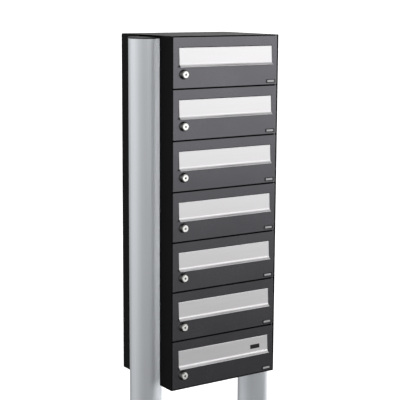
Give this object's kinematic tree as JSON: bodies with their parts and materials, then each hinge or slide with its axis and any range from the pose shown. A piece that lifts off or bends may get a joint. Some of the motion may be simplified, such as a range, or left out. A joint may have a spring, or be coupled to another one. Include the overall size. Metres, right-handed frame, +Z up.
{
  "type": "letter box column",
  "caption": "Free-standing column of lockable letter boxes: folded steel cabinet between two round posts, each box with a hinged door, a steel letter flap and a cam lock.",
  "frame": {"origin": "on the ground, under the middle of the whole unit's box", "axes": "+Z up, the doors face -Y, +X to the right as seen by someone facing the doors"},
  "size_m": [0.612, 0.302, 1.6666],
  "materials": {
    "cabinet_paint": "satin black powder coat",
    "door_paint": "satin anthracite powder coat",
    "stainless": "brushed along the width",
    "post_aluminium": "natural anodised",
    "lock_nickel": "nickel plated zinc casting",
    "zinc": "zinc plated",
    "black_plastic": "fine grained",
    "base_paint": "dark grey powder coat over zinc"
  },
  "bodies": {
    "cabinet": {"left_side": "cabinet_paint", "right_side": "cabinet_paint", "back_panel": "cabinet_paint", "roof": "cabinet_paint", "floor_pan": "cabinet_paint", "shelves": "cabinet_paint", "strike_rail": "cabinet_paint", "hinge_rail": "cabinet_paint", "hinge_pins": "stainless", "panel_rivets": "zinc", "left_post": "post_aluminium", "right_post": "post_aluminium", "post_caps": "black_plastic", "base_plates": "base_paint", "post_saddles": "black_plastic", "saddle_bolts": "zinc", "post_inserts": "zinc"},
    "door_1": {"door_1": "door_paint", "flap_rod_1": "stainless", "lock_body_1": "lock_nickel"},
    "flap_1": {"flap_1": "stainless"},
    "lock_1": {"lock_plug_1": "lock_nickel", "lock_cam_1": "zinc"},
    "door_2": {"door_2": "door_paint", "flap_rod_2": "stainless", "lock_body_2": "lock_nickel"},
    "flap_2": {"flap_2": "stainless"},
    "lock_2": {"lock_plug_2": "lock_nickel", "lock_cam_2": "zinc"},
    "door_3": {"door_3": "door_paint", "flap_rod_3": "stainless", "lock_body_3": "lock_nickel"},
    "flap_3": {"flap_3": "stainless"},
    "lock_3": {"lock_plug_3": "lock_nickel", "lock_cam_3": "zinc"},
    "door_4": {"door_4": "door_paint", "flap_rod_4": "stainless", "lock_body_4": "lock_nickel"},
    "flap_4": {"flap_4": "stainless"},
    "lock_4": {"lock_plug_4": "lock_nickel", "lock_cam_4": "zinc"},
    "door_5": {"door_5": "door_paint", "flap_rod_5": "stainless", "lock_body_5": "lock_nickel"},
    "flap_5": {"flap_5": "stainless"},
    "lock_5": {"lock_plug_5": "lock_nickel", "lock_cam_5": "zinc"},
    "door_6": {"door_6": "door_paint", "flap_rod_6": "stainless", "lock_body_6": "lock_nickel"},
    "flap_6": {"flap_6": "stainless"},
    "lock_6": {"lock_plug_6": "lock_nickel", "lock_cam_6": "zinc"},
    "door_7": {"door_7": "door_paint", "flap_rod_7": "stainless", "lock_body_7": "lock_nickel"},
    "flap_7": {"flap_7": "stainless", "number_plate": "black_plastic"},
    "lock_7": {"lock_plug_7": "lock_nickel", "lock_cam_7": "zinc"}
  },
  "joints": [
    {"name": "door_1_hinge", "type": "hinge", "parent": "cabinet", "child": "door_1", "pos_m": [0.1851, -0.1355, 1.5893], "axis": [0, 0, 1], "range_deg": [0, 100]},
    {"name": "flap_1_hinge", "type": "hinge", "parent": "door_1", "child": "flap_1", "pos_m": [0, -0.136, 1.6313], "axis": [-1, 0, 0], "range_deg": [0, 75]},
    {"name": "lock_1_turn", "type": "hinge", "parent": "door_1", "child": "lock_1", "pos_m": [-0.1513, -0.139, 1.5556], "axis": [0, 1, 0], "range_deg": [0, 90]},
    {"name": "door_2_hinge", "type": "hinge", "parent": "cabinet", "child": "door_2", "pos_m": [0.1851, -0.1355, 1.4373], "axis": [0, 0, 1], "range_deg": [0, 100]},
    {"name": "flap_2_hinge", "type": "hinge", "parent": "door_2", "child": "flap_2", "pos_m": [0, -0.136, 1.4793], "axis": [-1, 0, 0], "range_deg": [0, 75]},
    {"name": "lock_2_turn", "type": "hinge", "parent": "door_2", "child": "lock_2", "pos_m": [-0.1513, -0.139, 1.4036], "axis": [0, 1, 0], "range_deg": [0, 90]},
    {"name": "door_3_hinge", "type": "hinge", "parent": "cabinet", "child": "door_3", "pos_m": [0.1851, -0.1355, 1.2853], "axis": [0, 0, 1], "range_deg": [0, 100]},
    {"name": "flap_3_hinge", "type": "hinge", "parent": "door_3", "child": "flap_3", "pos_m": [0, -0.136, 1.3273], "axis": [-1, 0, 0], "range_deg": [0, 75]},
    {"name": "lock_3_turn", "type": "hinge", "parent": "door_3", "child": "lock_3", "pos_m": [-0.1513, -0.139, 1.2516], "axis": [0, 1, 0], "range_deg": [0, 90]},
    {"name": "door_4_hinge", "type": "hinge", "parent": "cabinet", "child": "door_4", "pos_m": [0.1851, -0.1355, 1.1333], "axis": [0, 0, 1], "range_deg": [0, 100]},
    {"name": "flap_4_hinge", "type": "hinge", "parent": "door_4", "child": "flap_4", "pos_m": [0, -0.136, 1.1753], "axis": [-1, 0, 0], "range_deg": [0, 75]},
    {"name": "lock_4_turn", "type": "hinge", "parent": "door_4", "child": "lock_4", "pos_m": [-0.1513, -0.139, 1.0996], "axis": [0, 1, 0], "range_deg": [0, 90]},
    {"name": "door_5_hinge", "type": "hinge", "parent": "cabinet", "child": "door_5", "pos_m": [0.1851, -0.1355, 0.9813], "axis": [0, 0, 1], "range_deg": [0, 100]},
    {"name": "flap_5_hinge", "type": "hinge", "parent": "door_5", "child": "flap_5", "pos_m": [0, -0.136, 1.0233], "axis": [-1, 0, 0], "range_deg": [0, 75]},
    {"name": "lock_5_turn", "type": "hinge", "parent": "door_5", "child": "lock_5", "pos_m": [-0.1513, -0.139, 0.9476], "axis": [0, 1, 0], "range_deg": [0, 90]},
    {"name": "door_6_hinge", "type": "hinge", "parent": "cabinet", "child": "door_6", "pos_m": [0.1851, -0.1355, 0.8293], "axis": [0, 0, 1], "range_deg": [0, 100]},
    {"name": "flap_6_hinge", "type": "hinge", "parent": "door_6", "child": "flap_6", "pos_m": [0, -0.136, 0.8713], "axis": [-1, 0, 0], "range_deg": [0, 75]},
    {"name": "lock_6_turn", "type": "hinge", "parent": "door_6", "child": "lock_6", "pos_m": [-0.1513, -0.139, 0.7956], "axis": [0, 1, 0], "range_deg": [0, 90]},
    {"name": "door_7_hinge", "type": "hinge", "parent": "cabinet", "child": "door_7", "pos_m": [0.1851, -0.1355, 0.6773], "axis": [0, 0, 1], "range_deg": [0, 100]},
    {"name": "flap_7_hinge", "type": "hinge", "parent": "door_7", "child": "flap_7", "pos_m": [0, -0.136, 0.7193], "axis": [-1, 0, 0], "range_deg": [0, 75]},
    {"name": "lock_7_turn", "type": "hinge", "parent": "door_7", "child": "lock_7", "pos_m": [-0.1513, -0.139, 0.6436], "axis": [0, 1, 0], "range_deg": [0, 90]}
  ]
}
